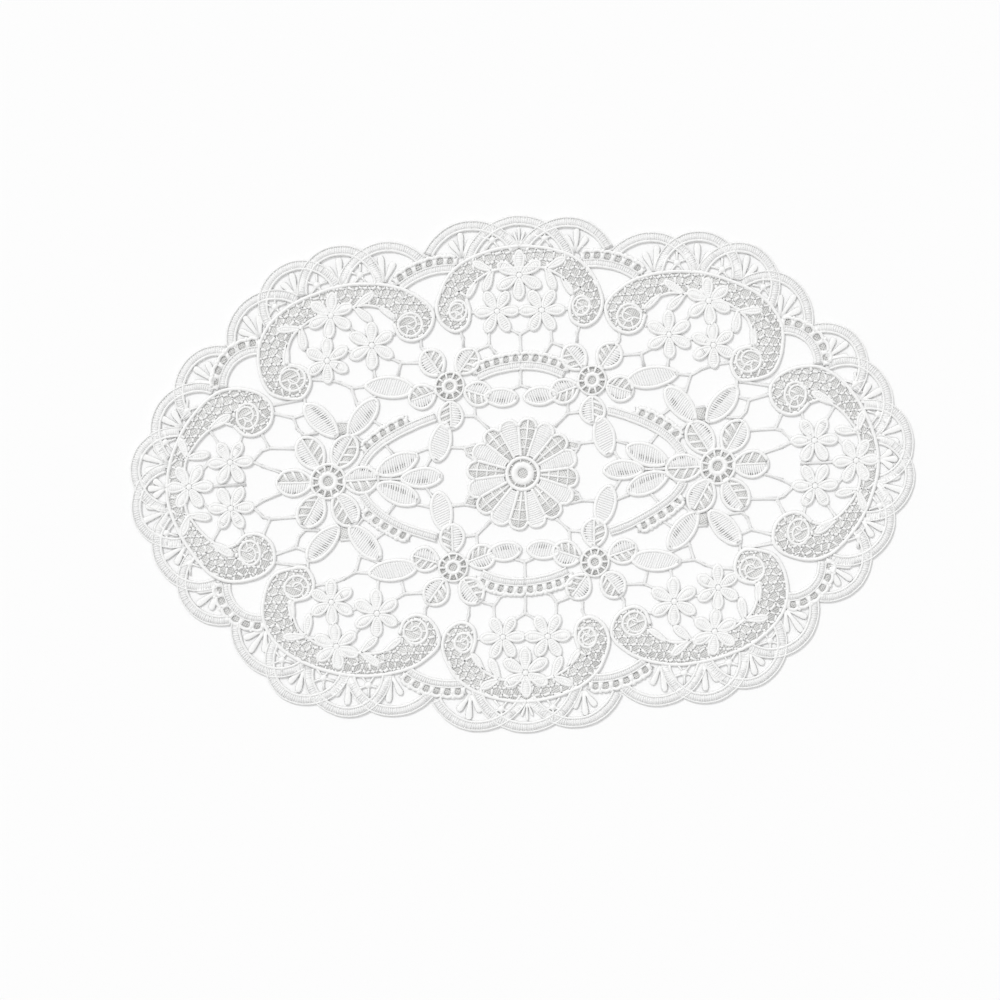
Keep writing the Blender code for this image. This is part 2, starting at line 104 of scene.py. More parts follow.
def makePiece(name, work, material):
    mesh = bpy.data.meshes.new(name)
    mesh.from_pydata([placed(*p) for p in work.points], [], work.faces)
    mesh.validate()
    mesh.polygons.foreach_set("use_smooth", [True] * len(mesh.polygons))
    mesh.materials.append(material)
    piece = bpy.data.objects.new(name, mesh)
    bpy.context.scene.collection.objects.link(piece)
    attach(piece, "root")
    print(name, len(mesh.polygons), "faces")
    return piece


# Flat shapes and routes

def arcRoute(centreX, centreY, radius, startDeg, endDeg):
    sweep = math.radians(endDeg - startDeg)
    count = max(3, round(abs(sweep) * radius / cords["step"]))
    start = math.radians(startDeg)
    return [
        (centreX + radius * math.cos(start + sweep * i / count),
         centreY + radius * math.sin(start + sweep * i / count))
        for i in range(count + 1)
    ]


def ringRoute(centre, radius, squash=1.0):
    count = max(10, round(math.tau * radius / cords["step"]))
    return [
        (centre[0] + radius * squash * math.cos(math.tau * i / count),
         centre[1] + radius * math.sin(math.tau * i / count))
        for i in range(count)
    ]


def smooth(points, step=None):
    # Catmull-Rom curve through the points
    step = step or cords["step"]
    ends = [points[0]] + list(points) + [points[-1]]
    made = []
    for i in range(1, len(ends) - 2):
        before, a, b, after = (Vector(p) for p in ends[i - 1:i + 3])
        pieces = max(1, round((b - a).length / step))
        for k in range(pieces):
            t = k / pieces
            made.append(
                0.5 * (2 * a + (b - before) * t + (2 * before - 5 * a + 4 * b - after) * t ** 2
                       + (3 * a - before - 3 * b + after) * t ** 3)
            )
    made.append(Vector(points[-1]))
    return made


def sidesOf(route, closed=False):
    # The left-hand unit vector at each point of a route
    route = [Vector(p) for p in route]
    count = len(route)
    found = []
    for i in range(count):
        ahead = route[(i + 1) % count] if closed or i + 1 < count else route[i]
        behind = route[i - 1] if closed or i > 0 else route[i]
        way = (ahead - behind).normalized()
        found.append(Vector((-way.y, way.x)))
    return found


def shifted(route, offset, closed=False):
    return [Vector(p) + side * offset for p, side in zip(route, sidesOf(route, closed))]


def lengthOf(route):
    return sum((Vector(b) - Vector(a)).length for a, b in zip(route, route[1:]))


def evenly(route, pieces):
    # Points at equal distances along a route
    route = [Vector(p) for p in route]
    lengths = [0.0]
    for a, b in zip(route, route[1:]):
        lengths.append(lengths[-1] + (b - a).length)
    made, k = [], 0
    for i in range(pieces + 1):
        want = lengths[-1] * i / pieces
        while k < len(route) - 2 and lengths[k + 1] < want:
            k += 1
        made.append(route[k].lerp(route[k + 1], (want - lengths[k]) / (lengths[k + 1] - lengths[k])))
    return made


def strokeShape(route, width):
    return shifted(route, width / 2) + shifted(route, -width / 2)[::-1]


def leafFrame(base, tip):
    # A leaf's foot, the vector to its tip and the unit vector to its left
    base, tip = Vector(base), Vector(tip)
    along = tip - base
    return base, along, Vector((-along.y, along.x)).normalized()


def leafSteps(count):
    # Shares of a leaf's length, closer together at its ends
    return [(1 - math.cos(math.pi * i / count)) / 2 for i in range(count + 1)]


def leafHalfWidth(t, width, look):
    bend = math.log(0.5) / math.log(look["widest"])
    rise = math.sin(math.pi * min(max(t, 0), 1) ** bend)
    return width / 2 * max(cords["leafTip"], rise) ** look["fullness"]


def leafShape(base, tip, width, look):
    base, along, side = leafFrame(base, tip)
    left, right = [], []
    for t in leafSteps(look["steps"]):
        half = leafHalfWidth(t, width, look)
        left.append(base + along * t + side * half)
        right.append(base + along * t - side * half)
    return right + left[::-1]


def leafLine(base, tip, width, look, share):
    # A line along a leaf, where share runs from -1 on its right edge to 1 on its left
    base, along, side = leafFrame(base, tip)
    return [
        base + along * t + side * (leafHalfWidth(t, width, look) * share)
        for t in leafSteps(cords["leafSteps"])
    ]


def leafBetween(base, tip, width, look, shares):
    # The part of a leaf between two such lines
    start, end = (leafLine(base, tip, width, look, share) for share in shares)
    return start + end[::-1]


def polar(centre, turnDeg, radius):
    turn = math.radians(turnDeg)
    return Vector((centre[0] + radius * math.cos(turn), centre[1] + radius * math.sin(turn)))


# Thread relief

def addCord(work, route, width, height, base=0.1, closed=False, middle=None, sides=None):
    # A half-round cord that lies along the route. Width is one number, or one for each point.
    sides = sides or cords["sides"]
    route = [Vector(p) for p in route]
    widths = width if isinstance(width, list) else [width] * len(route)
    points, faces = [], []
    for place, side, wide in zip(route, sidesOf(route, closed), widths):
        for k in range(sides + 1):
            turn = math.pi * k / sides
            spot = place + side * (math.cos(turn) * wide / 2)
            points.append((spot.x, spot.y, base + math.sin(turn) * height))
    ring = sides + 1
    count = len(route)
    for i in range(count if closed else count - 1):
        a, b = i * ring, (i + 1) % count * ring
        faces += [(a + k, a + (k + 1) % ring, b + (k + 1) % ring, b + k) for k in range(ring)]
    if not closed:
        faces.append(tuple(range(ring))[::-1])
        faces.append(tuple((count - 1) * ring + k for k in range(ring)))
    work.add(points, faces, middle)


def addBar(work, a, b, width, height, middle=None, flare=1.4, sides=3):
    # A short straight cord, wider where it joins at each end
    a, b = Vector(a), Vector(b)
    if (b - a).length >= cords["shortestBar"]:
        widths = [width * flare, width, width * flare]
        addCord(work, [a, a.lerp(b, 0.5), b], widths, height, middle=middle, sides=sides)


def addThreads(work, base, tip, width, look, middle=None, span=(-1, 1), lean=0.0, thin=None):
    # Threads laid side by side across a leaf, each a low arched cord. They are thinner near the line
    # "thin", counted across from -1 to 1, so that dark slots open there.
    base, along, side = leafFrame(base, tip)
    count = round(along.length / look["pitch"])
    thinFrom, thinTo = sorted(threadRandom.uniform(*ends) for ends in look["thinPart"])
    steps = [span[0] + (span[1] - span[0]) * k / look["parts"] for k in range(look["parts"] + 1)]
    for i in range(1, count):
        wide, high = threadRandom.uniform(*look["width"]), threadRandom.uniform(*look["height"])
        slotted = thin is not None and threadRandom.random() < look["thinChance"]
        if threadRandom.random() < look["weakChance"]:
            wide, high = wide * look["weakShare"][0], high * look["weakShare"][1]
        route, widths = [], []
        for s in steps:
            t = min(max(i / count + lean * s, look["margin"]), 1 - look["margin"])
            route.append(base + along * t + side * (leafHalfWidth(t, width, look) * s))
            isThin = slotted and abs(s - thin) < look["thinReach"] and thinFrom < t < thinTo
            widths.append(wide * threadRandom.uniform(*look["thinShare"]) if isThin else wide)
        addCord(work, route, widths, high, base=look["base"], middle=middle, sides=3)


def addKnot(work, centre, radius, height):
    # A low round knot of thread
    rings, around = 4, 14
    points = [(centre[0], centre[1], height)]
    for i in range(1, rings + 1):
        lean = math.pi / 2 * i / rings
        for k in range(around):
            spot = polar(centre, 360 * k / around, radius * math.sin(lean))
            points.append((spot.x, spot.y, cloth["under"] + (height - cloth["under"]) * math.cos(lean)))
    faces = [(0, 1 + k, 1 + (k + 1) % around) for k in range(around)]
    for i in range(rings - 1):
        a, b = 1 + i * around, 1 + (i + 1) * around
        faces += [(a + k, b + k, b + (k + 1) % around, a + (k + 1) % around) for k in range(around)]
    last = 1 + (rings - 1) * around
    faces.append(tuple(last + k for k in range(around))[::-1])
    work.add(points, faces, centre)


# The base cloth: all the flat shapes joined into one sheet with the open gaps left out

def orderedShape(shape):
    points = [Vector(p) for p in shape]
    twiceArea = sum(points[i - 1].cross(p) for i, p in enumerate(points))
    return points if twiceArea > 0 else points[::-1]


def addGround(shape, middle=None):
    # Flat cloth under the threads, copied like them into the quarters where it belongs
    for flipX, flipY in quartersFor(middle or averageOf(shape)):
        groundShapes.append([(p[0] * flipX, p[1] * flipY) for p in shape])


def addGroundStrip(route, otherRoute, middle):
    # Cloth between two routes, one four-sided piece at a time
    for i in range(len(route) - 1):
        shape = [route[i], route[i + 1], otherRoute[i + 1], otherRoute[i]]
        turns = [(shape[k - 1] - shape[k - 2]).cross(shape[k] - shape[k - 1]) for k in range(4)]
        if min(turns) > 0 or max(turns) < 0:
            addGround(shape, middle)


def addGroundRing(ring, width, middle):
    outer, inner = shifted(ring, -width / 2, True), shifted(ring, width / 2, True)
    addGroundStrip(outer + outer[:1], inner + inner[:1], middle)


def addThickRing(work, ring, width, height, inset, middle):
    # A high ring of thread with the cloth under it
    addCord(work, ring, width, height, closed=True, middle=middle, sides=cords["roundSides"])
    addGroundRing(ring, width - inset, middle)


def edgeOwners(triangles):
    # The triangle that each edge belongs to, in the direction in which it runs there
    return {(t[i], t[(i + 1) % 3]): index for index, t in enumerate(triangles) for i in range(3)}


def joinedSheet(shapes):
    points, faces = [], []
    for shape in shapes:
        faces.append(list(range(len(points), len(points) + len(shape))))
        points += orderedShape(shape)
    found = delaunay_2d_cdt(points, [], faces, 0, cloth["merge"])
    return found[0], [tuple(t) for t, source in zip(found[2], found[5]) if source]


def cornerNumbers(triangles):
    # One number for each triangle's corner. Triangles share it only across a common edge, so that two
    # that touch at a point alone stay apart.
    link = {(index, corner): (index, corner) for index, t in enumerate(triangles) for corner in t}

    def rootOf(key):
        while link[key] != key:
            link[key] = link[link[key]]
            key = link[key]
        return key

    owner = edgeOwners(triangles)
    for (a, b), index in owner.items():
        other = owner.get((b, a))
        if other is not None:
            for corner in (a, b):
                link[rootOf((index, corner))] = rootOf((other, corner))
    numbers = {}
    return {key: numbers.setdefault(rootOf(key), len(numbers)) for key in link}


def sheetWork(corners, triangles):
    numbers = cornerNumbers(triangles)
    count = max(numbers.values()) + 1
    flat = [None] * count
    for (_, corner), number in numbers.items():
        flat[number] = corners[corner]
    work = Lacework()
    for height in (cloth["ground"], cloth["under"]):
        work.points += [(p.x, p.y, height) for p in flat]
    owner = edgeOwners(triangles)
    for index, t in enumerate(triangles):
        a, b, c = (numbers[index, corner] for corner in t)
        work.faces += [(a, b, c), (c + count, b + count, a + count)]
        for start, end in zip(t, t[1:] + t[:1]):
            if (end, start) not in owner:
                first, last = numbers[index, start], numbers[index, end]
                work.faces.append((last, first, first + count, last + count))
    return work


# Materials

threadLook = {
    "sheenRoughness": 0.45, "patchDetail": 3, "patchRange": (0.3, 0.7),
    "fibreDetail": 4, "fibreRoughness": 0.65, "bumpHeight": 0.0002,
}


def threadMaterial(name, ownLook):
    look = dict(threadLook, **ownLook)
    material = bpy.data.materials.new(name)
    material.use_nodes = True
    nodes, links = material.node_tree.nodes, material.node_tree.links
    shader = nodes["Principled BSDF"]
    shader.inputs["Roughness"].default_value = look["roughness"]
    shader.inputs["Sheen Weight"].default_value = look["sheen"]
    shader.inputs["Sheen Roughness"].default_value = look["sheenRoughness"]
    shader.inputs["Specular IOR Level"].default_value = look["specular"]
    place = nodes.new("ShaderNodeTexCoord")
    patches = nodes.new("ShaderNodeTexNoise")
    patches.inputs["Scale"].default_value = look["patchScale"]
    patches.inputs["Detail"].default_value = look["patchDetail"]
    tint = nodes.new("ShaderNodeValToRGB")
    colours = look["darkColour"], look["lightColour"]
    for stop, position, colour in zip(tint.color_ramp.elements, look["patchRange"], colours):
        stop.position = position
        stop.color = (*colour, 1)
    fibres = nodes.new("ShaderNodeTexNoise")
    fibres.inputs["Scale"].default_value = look["fibreScale"]
    fibres.inputs["Detail"].default_value = look["fibreDetail"]
    fibres.inputs["Roughness"].default_value = look["fibreRoughness"]
    bump = nodes.new("ShaderNodeBump")
    bump.inputs["Strength"].default_value = look["bump"]
    bump.inputs["Distance"].default_value = look["bumpHeight"]
    links.new(place.outputs["Object"], patches.inputs["Vector"])
    links.new(place.outputs["Object"], fibres.inputs["Vector"])
    links.new(patches.outputs["Fac"], tint.inputs["Fac"])
    links.new(tint.outputs["Color"], shader.inputs["Base Color"])
    links.new(fibres.outputs["Fac"], bump.inputs["Height"])
    links.new(bump.outputs["Normal"], shader.inputs["Normal"])
    return material


cordThread = threadMaterial("cord_thread", {
    "roughness": 0.75, "sheen": 0.15, "specular": 0.3, "patchScale": 900, "fibreScale": 2600,
    "bump": 0.6, "darkColour": (0.87, 0.87, 0.865), "lightColour": (0.945, 0.945, 0.94),
})
# Satin and rung threads are a little darker than the cords: painted shade for the lower fills between the
# rims.
satinShadeThread = threadMaterial("satin_painted_shade_thread", {
    "roughness": 0.6, "sheen": 0.2, "specular": 0.35, "patchScale": 1100, "fibreScale": 2400,
    "bump": 0.5, "darkColour": (0.83, 0.83, 0.83), "lightColour": (0.93, 0.93, 0.925),
})
# The base cloth is the same white thread; its darker tone is painted shade for the cloth lying lower between
# the cords.
groundShadeThread = threadMaterial("ground_painted_shade_thread", {
    "roughness": 0.9, "sheen": 0.1, "specular": 0.2, "patchScale": 1200, "fibreScale": 3000,
    "bump": 0.9, "bumpHeight": 0.0003, "darkColour": (0.8, 0.8, 0.8), "lightColour": (0.92, 0.92, 0.915),
})
# The fine net's grey colour is painted shade for the small open cells, not the thread's own colour.
shadeNetThread = threadMaterial("shade_net_thread", {
    "roughness": 0.8, "sheen": 0.1, "specular": 0.2, "patchScale": 700, "fibreScale": 2800,
    "bump": 0.2, "darkColour": (0.74, 0.74, 0.73), "lightColour": (0.8, 0.8, 0.79),
})
# Darker still: painted shade for the deep holes and slits, where there is only shadow.
deepShadeThread = threadMaterial("deep_shade_thread", {
    "roughness": 0.9, "sheen": 0.05, "specular": 0.2, "patchScale": 700, "fibreScale": 2800,
    "bump": 0.2, "darkColour": (0.66, 0.66, 0.65), "lightColour": (0.74, 0.74, 0.73),
})

groundShapes = []

# Fine grey threads both ways, behind the small open cells. Their grey colour is painted shade for the shadow
# in those cells. The deep ones lie lower and are darker, painted deeper shade for the deepest holes.
shadeNet = {
    "pitch": 1.15, "jitter": 0.08, "width": 1.2, "height": 0.12, "base": 0.3, "deepShadeBase": 0.08,
    "aimsDeg": (28, 118), "shortest": 0.5, "seed": 5,
}
shadeNetRandom = random.Random(shadeNet["seed"])
shadeNetWork, deepShadeWork = Lacework(), Lacework()


def crossings(start, way, polygon):
    # How far along a line it passes each side of the polygon, in order
    found = []
    for i, a in enumerate(polygon):
        edge = a - polygon[i - 1]
        across = way.cross(edge)
        if abs(across) > 1e-9:
            share = (polygon[i - 1] - start).cross(way) / across
            if 0 <= share < 1:
                found.append((polygon[i - 1] - start).cross(edge) / across)
    return sorted(found)


# Lays a net of grey threads, painted shade, across a polygon
def addShadeNet(polygon, middle=None, isDeepShade=False):
    work, base = (deepShadeWork, shadeNet["deepShadeBase"]) if isDeepShade else (shadeNetWork, shadeNet["base"])
    polygon = [Vector(p) for p in polygon]
    centre = Vector(averageOf(polygon))
    reach = max((p - centre).length for p in polygon)
    rows = int(reach / shadeNet["pitch"]) + 1
    for aim in shadeNet["aimsDeg"]:
        way = polar((0, 0), aim, 1)
        for k in range(-rows, rows + 1):
            shift = k * shadeNet["pitch"] + shadeNetRandom.uniform(-1, 1) * shadeNet["jitter"]
            start = centre + Vector((-way.y, way.x)) * shift
            ends = crossings(start, way, polygon)
            for near, far in zip(ends[::2], ends[1::2]):
                if far - near > shadeNet["shortest"]:
                    line = [start + way * near, start + way * far]
                    size = shadeNet["width"], shadeNet["height"]
                    addCord(work, line, *size, base, middle=middle or centre, sides=2)


# Outer arches: ladder bands that cross one another all round the mat
arches = [
    Arc(0, 116.5, 29.8, 14, 166), Arc(-27, 116.5, 27.8, 27, 155), Arc(-76, 107.4, 26.7, 41, 167),
    Arc(-103, 110.7, 22.6, 6, 188), Arc(-125.7, 103.3, 22.4, 18, 211), Arc(-142, 84, 24.9, 58, 192),
    Arc(-175, 55, 22.9, 78, 221), Arc(-187, 33, 24.6, 68, 222), Arc(-201, 10, 22.3, 82, 255),
]
links = [Arc(-42, 78, 41.8, 83, 129), Arc(-152.5, 57.5, 19.7, 86, 182)]
band = {
    "width": 6.2, "linkWidth": 5.3, "innerCord": 1.6, "outerCord": 1.1, "cordHeight": 1.45,
    "rungPitch": 1.3, "rungWidth": (0.75, 1.1), "rungHeight": (0.35, 0.6), "rungBase": 0.62,
    "rungLean": (-0.3, 0.5), "overlap": 0.6, "skipped": 0.1, "lift": 0.12, "seed": 7,
}
bandRandom = random.Random(band["seed"])


def addBand(route, width, lift=0.0):
    half = width / 2
    for edge, cord in ((1, band["innerCord"]), (-1, band["outerCord"])):
        addCord(archCords, shifted(route, edge * (half - cord / 2)), cord, band["cordHeight"] + lift)
    addGround(strokeShape(route, width - band["innerCord"]))
    even = evenly(route, round(lengthOf(route) / band["rungPitch"]))
    reach = half - band["innerCord"] * band["overlap"]
    for place, side in zip(even[1:-1], sidesOf(even)[1:-1]):
        if bandRandom.random() < band["skipped"]:
            continue
        lean = Vector((side.y, -side.x)) * bandRandom.uniform(*band["rungLean"])
        wide, high = bandRandom.uniform(*band["rungWidth"]), bandRandom.uniform(*band["rungHeight"])
        rung = [place + side * reach + lean, place - side * reach - lean]
        addCord(rungs, rung, wide, high, base=band["rungBase"], sides=3)


archCords, rungs = Lacework(), Lacework()
for number, arch in enumerate(arches):
    addBand(arcRoute(*arch), band["width"], lift=band["lift"] * (number % 2))

# Frame of the middle oval, and the two links between the scrolls, each with a row of open beads outside
frameOval = {
    "halfLength": 94.2, "halfWidth": 41.0, "bandDeg": (122, 169), "beadsDeg": (134, 159), "count": 40,
}
frameCap = Arc(0, 7.5, 55, 90, 117)
beads = {
    "near": 2.3, "offset": 6.5, "pitch": 5.7, "tieWidth": 2.5, "tieFlare": 1.95, "tieHeight": 1.2,
    "cordWidth": 2.3, "cordHeight": 1.6, "cordStep": 1.2, "bulge": 1.2,
    "picot": 1.6, "picotSizes": (0.75, 1.1), "picotOffset": 0.9, "picotHeight": 1.7,
}


def ovalRoute(startDeg, endDeg):
    count = frameOval["count"]
    turns = [math.radians(startDeg + (endDeg - startDeg) * i / count) for i in range(count + 1)]
    return [(frameOval["halfLength"] * math.cos(a), frameOval["halfWidth"] * math.sin(a)) for a in turns]


def addBeadRow(route):
    # Ties across the row, a scalloped cord along its outer side and a picot at each tie
    pieces = max(2, round(lengthOf(route) / beads["pitch"]))
    even = evenly(route, pieces)
    outward = [-side for side in sidesOf(even)]
    netEdge = beads["offset"] + beads["bulge"] / 2
    # A low, darker net of painted shade lies in the bead openings
    addShadeNet(shifted(even, -beads["near"]) + shifted(even, -netEdge)[::-1], isDeepShade=True)
    outer = []
    for i, (place, side) in enumerate(zip(even, outward)):
        near, far = place + side * beads["near"], place + side * beads["offset"]
        addBar(beadWork, near, far, beads["tieWidth"], beads["tieHeight"], flare=beads["tieFlare"])
        addGround(strokeShape([near, far], beads["tieWidth"]))
        outer.append(far)
        if 0 < i < pieces:
            picot = beads["picot"] * bandRandom.uniform(*beads["picotSizes"])
            addKnot(beadWork, far + side * beads["picotOffset"], picot, beads["picotHeight"])
    for a, b, side in zip(outer, outer[1:], outward):
        line = smooth([a, (a + b) / 2 + side * beads["bulge"], b], beads["cordStep"])
        addCord(beadWork, line, beads["cordWidth"], beads["cordHeight"])
        addGround(strokeShape(line, beads["cordWidth"] - cloth["inset"]))


beadWork = Lacework()
for link in links + [frameCap]:
    addBand(arcRoute(*link), band["linkWidth"])
    addBeadRow(arcRoute(*link))
addBand(ovalRoute(*frameOval["bandDeg"]), band["linkWidth"])
addBeadRow(ovalRoute(*frameOval["beadsDeg"]))

# Scrolls: a heavy outline filled with an irregular net that winds round a ring at each end
scrolls = {
    "top": {
        "outer": [
            (0, 131.3), (-12, 130.3), (-22, 127.8), (-32, 123.3), (-40, 116.5), (-45, 108), (-48, 98),
            (-45.5, 89), (-38, 84), (-31, 87), (-29, 94.5), (-31, 102),
        ],
        "inner": [(-28, 107.5), (-24, 113), (-15, 118), (-7, 119), (0, 119)],
        "rings": [((-35.8, 95.8), 5.6, 0.9)],
    },
    "shoulder": {
        "outer": [
            (-72.5, 89.5), (-69.5, 82), (-63, 79), (-55, 82), (-50.5, 89), (-50.5, 96.5), (-57, 103.5),
            (-67, 109.3), (-80, 112.5), (-94, 113.2), (-108, 111.3), (-122, 107), (-134, 101), (-144, 92.5),
            (-150, 82), (-151.3, 71), (-149, 59.5), (-144, 52), (-135, 49.2), (-126, 49.5), (-121.5, 58),
            (-124.5, 66), (-133.5, 68.3),
        ],
        "inner": [
            (-134.3, 75), (-132, 83), (-127, 89), (-118, 95), (-109, 97), (-98, 99.5), (-88, 100.7),
            (-79, 98.5), (-73.5, 93),
        ],
        "rings": [((-63.2, 88.6), 6.9, 1.0), ((-131.5, 60.5), 7.1, 1.0)],
    },
    "end": {
        "outer": [
            (-205.5, 0), (-204.7, 9), (-201.5, 20.5), (-196, 32), (-188, 43), (-180, 51), (-171, 55.3),
            (-160, 55), (-149.5, 51), (-144, 44), (-145.5, 34.5), (-152, 29), (-160, 29), (-166, 34.5),
        ],
        "inner": [(-173, 36.5), (-182, 31), (-189, 23.5), (-194, 15.5), (-195, 8), (-195, 0)],
        "rings": [((-158.3, 39.5), 7.2, 0.85)],
    },
}
scrollCord = {"outerWidth": 2.3, "innerWidth": 1.8, "height": 1.6}
net = {
    "spacing": 5.3, "jitter": 1.4, "shortest": 0.35, "longest": 15.9, "halvings": 9,
    "width": 1.4, "widths": (0.8, 1.25), "flare": 1.5, "height": 1.3, "seed": 41,
}


def isInside(point, polygon):
    count = 0
    for i, a in enumerate(polygon):
        b = polygon[i - 1]
        if (a.y > point.y) != (b.y > point.y):
            count += point.x < a.x + (point.y - a.y) / (b.y - a.y) * (b.x - a.x)
    return count % 2 == 1


def circumcentre(a, b, c):
    d = 2 * (a.x * (b.y - c.y) + b.x * (c.y - a.y) + c.x * (a.y - b.y))
    if abs(d) < 1e-9:
        return (a + b + c) / 3
    aa, bb, cc = a.length_squared, b.length_squared, c.length_squared
    return Vector((
        (aa * (b.y - c.y) + bb * (c.y - a.y) + cc * (a.y - b.y)) / d,
        (aa * (c.x - b.x) + bb * (a.x - c.x) + cc * (b.x - a.x)) / d,
    ))


def cutAt(inside, outside, polygon):
    # Where the line from inside to outside crosses the polygon
    for _ in range(net["halvings"]):
        middle = (inside + outside) / 2
        if isInside(middle, polygon):
            inside = middle
        else:
            outside = middle
    return inside


def netLines(polygon, rings):
    low = [min(p[axis] for p in polygon) - net["spacing"] for axis in (0, 1)]
    high = [max(p[axis] for p in polygon) + net["spacing"] for axis in (0, 1)]
    rise = net["spacing"] * math.sqrt(3) / 2
    seeds = []
    for row in range(int((high[1] - low[1]) / rise) + 1):
        for column in range(int((high[0] - low[0]) / net["spacing"]) + 1):
            seeds.append(Vector((
                low[0] + (column + row % 2 / 2) * net["spacing"] + netRandom.uniform(-1, 1) * net["jitter"],
                low[1] + row * rise + netRandom.uniform(-1, 1) * net["jitter"],
            )))
    found = delaunay_2d_cdt(seeds, [], [], 0, 1e-5)
    corners, triangles = found[0], found[2]
    centres = [circumcentre(*(corners[i] for i in t)) for t in triangles]
    owner = edgeOwners(triangles)
    lines = []
    for (a, b), index in owner.items():
        other = owner.get((b, a))
        if other is None or other < index:
            continue
        start, end = centres[index], centres[other]
        startIn, endIn = isInside(start, polygon), isInside(end, polygon)
        if not (startIn or endIn) or (end - start).length > net["longest"]:
            continue
        if not startIn:
            start = cutAt(end, start, polygon)
        if not endIn:
            end = cutAt(start, end, polygon)
        middle = (start + end) / 2
        if all((middle - Vector(centre)).length > radius for centre, radius, _ in rings):
            lines.append((start, end))
    return lines


scrollCords, netWork = Lacework(), Lacework()
netRandom = random.Random(net["seed"])


def addScrollCord(route, width):
    addCord(scrollCords, route, width, scrollCord["height"])
    addGround(strokeShape(route, width - cloth["slimInset"]))


# The coil in a scroll's end starts on the ring and winds inwards. Short ties hold it, at angles counted
# from its start.
coil = {
    "ringWidth": 1.9, "ringGround": 1.2, "ringHeight": 1.45, "width": 1.45, "height": 1.35, "steps": 24,
    "startDeg": 165, "turns": 0.95, "end": 0.3, "bend": 0.6, "tieWidth": 1.25, "tieHeight": 1.1,
    "tiesDeg": (58, 112, 165, 222, 275, 330), "innerTiesDeg": ((342, 130), (342, 215)), "innerFlare": 1.2,
}


def coilPoint(ring, turnDeg, onRing=False):
    centre, radius, squash = ring
    inward = 0 if onRing else (turnDeg / 360 / coil["turns"]) ** coil["bend"]
    point = polar(centre, coil["startDeg"] - turnDeg, radius * (1 - (1 - coil["end"]) * inward))
    return Vector((centre[0] + (point.x - centre[0]) * squash, point.y))


def addCoil(ring):
    circle = ringRoute(*ring)
    addCord(scrollCords, circle, coil["ringWidth"], coil["ringHeight"], closed=True)
    addGroundRing(circle, coil["ringGround"], ring[0])
    turned = [360 * coil["turns"] * i / coil["steps"] for i in range(coil["steps"] + 1)]
    addCord(scrollCords, [coilPoint(ring, turnDeg) for turnDeg in turned], coil["width"], coil["height"])
    for turnDeg in coil["tiesDeg"]:
        a, b = coilPoint(ring, turnDeg), coilPoint(ring, turnDeg, onRing=True)
        addBar(netWork, a, b, coil["tieWidth"], coil["tieHeight"])
    for ends in coil["innerTiesDeg"]:
        a, b = (coilPoint(ring, turnDeg) for turnDeg in ends)
        addBar(netWork, a, b, coil["tieWidth"], coil["tieHeight"], flare=coil["innerFlare"])


for scroll in scrolls.values():
    outer, inner = smooth(scroll["outer"]), smooth(scroll["inner"])
    join = smooth([outer[-1], (outer[-1] + inner[0]) / 2, inner[0]])
    addScrollCord(outer, scrollCord["outerWidth"])
    addScrollCord(join[:-1] + inner, scrollCord["innerWidth"])
    # A grey net of painted shade fills the scroll's cells behind the coarse net
    addShadeNet(outer + inner)
    for start, end in netLines(outer + inner, scroll["rings"]):
        if (end - start).length > net["shortest"]:
            wide = net["width"] * netRandom.uniform(*net["widths"])
            addBar(netWork, start, end, wide, net["height"], flare=net["flare"])
    for ring in scroll["rings"]:
        addCoil(ring)

# Leaves: a heavy outline with threads laid across it. The open ones have slots between the threads.
leaves = [
    Leaf(-107.5, 26, -124.3, 44.7, 13.5, "open"), Leaf(-100, 26.5, -84, 46, 13.5, "open"),
    Leaf(-89.5, 54.2, -62.5, 51.5, 13.5), Leaf(-83.3, 3.6, -60.6, 12.8, 13.5, "open"),
    Leaf(-69.5, 0, -46.8, 0, 12.5, "open"), Leaf(-44.8, 31, -49.2, 9, 13.5),
    Leaf(-20.5, 45.3, -2.2, 43.7, 12, "open"),
]
leafLook = {
    "fullness": 0.5, "widest": 0.53, "steps": 16, "cordWidth": 2.2, "cordHeight": 1.45,
    "backing": ((-1, 0), (0, 1)), "openBacking": ((-1, -0.6), (-0.18, 0.4), (0.4, 1)), "slots": (-0.7, -0.1),
}
leafThreads = {
    "fullness": 0.5, "widest": 0.53, "pitch": 1.4, "width": (1.3, 1.5), "height": (0.3, 0.5), "base": 0.68,
    "parts": 5, "lean": 0.05, "margin": 0.015, "weakChance": 0.03, "weakShare": (0.55, 0.5),
    "thin": -0.4, "thinReach": 0.3, "thinChance": 0.5, "thinShare": (0.5, 0.85),
    "thinPart": ((0.25, 0.35), (0.65, 0.85)), "seed": 19,
}
motifCords, threadWork, satinWork = Lacework(), Lacework(), Lacework()
threadRandom = random.Random(leafThreads["seed"])


def addRim(base, tip, width, look, middle):
    # The cord round a leaf or petal, with its cloth. It returns the width that is left inside.
    inside = width - look["cordWidth"]
    rim = leafShape(base, tip, inside, look)
    addCord(motifCords, rim, look["cordWidth"], look["cordHeight"], closed=True, middle=middle)
    addGroundRing(rim, look["cordWidth"] - cloth["inset"], middle)
    return inside


for leaf in leaves:
    base, tip = (leaf.baseX, leaf.baseY), (leaf.tipX, leaf.tipY)
    middle = averageOf([base, tip])
    isOpen = leaf.style == "open"
    inside = addRim(base, tip, leaf.width, leafLook, middle)
    for shares in leafLook["openBacking" if isOpen else "backing"]:
        addGroundStrip(*(leafLine(base, tip, inside, leafLook, share) for share in shares), middle)
    if isOpen:
        # The slots hold a grey net of painted shade
        addShadeNet(leafBetween(base, tip, inside, leafLook, leafLook["slots"]), middle)
    addThreads(
        threadWork if isOpen else satinWork, base, tip, inside, leafThreads, middle, lean=leafThreads["lean"],
        thin=leafThreads["thin"] if isOpen else None,
    )

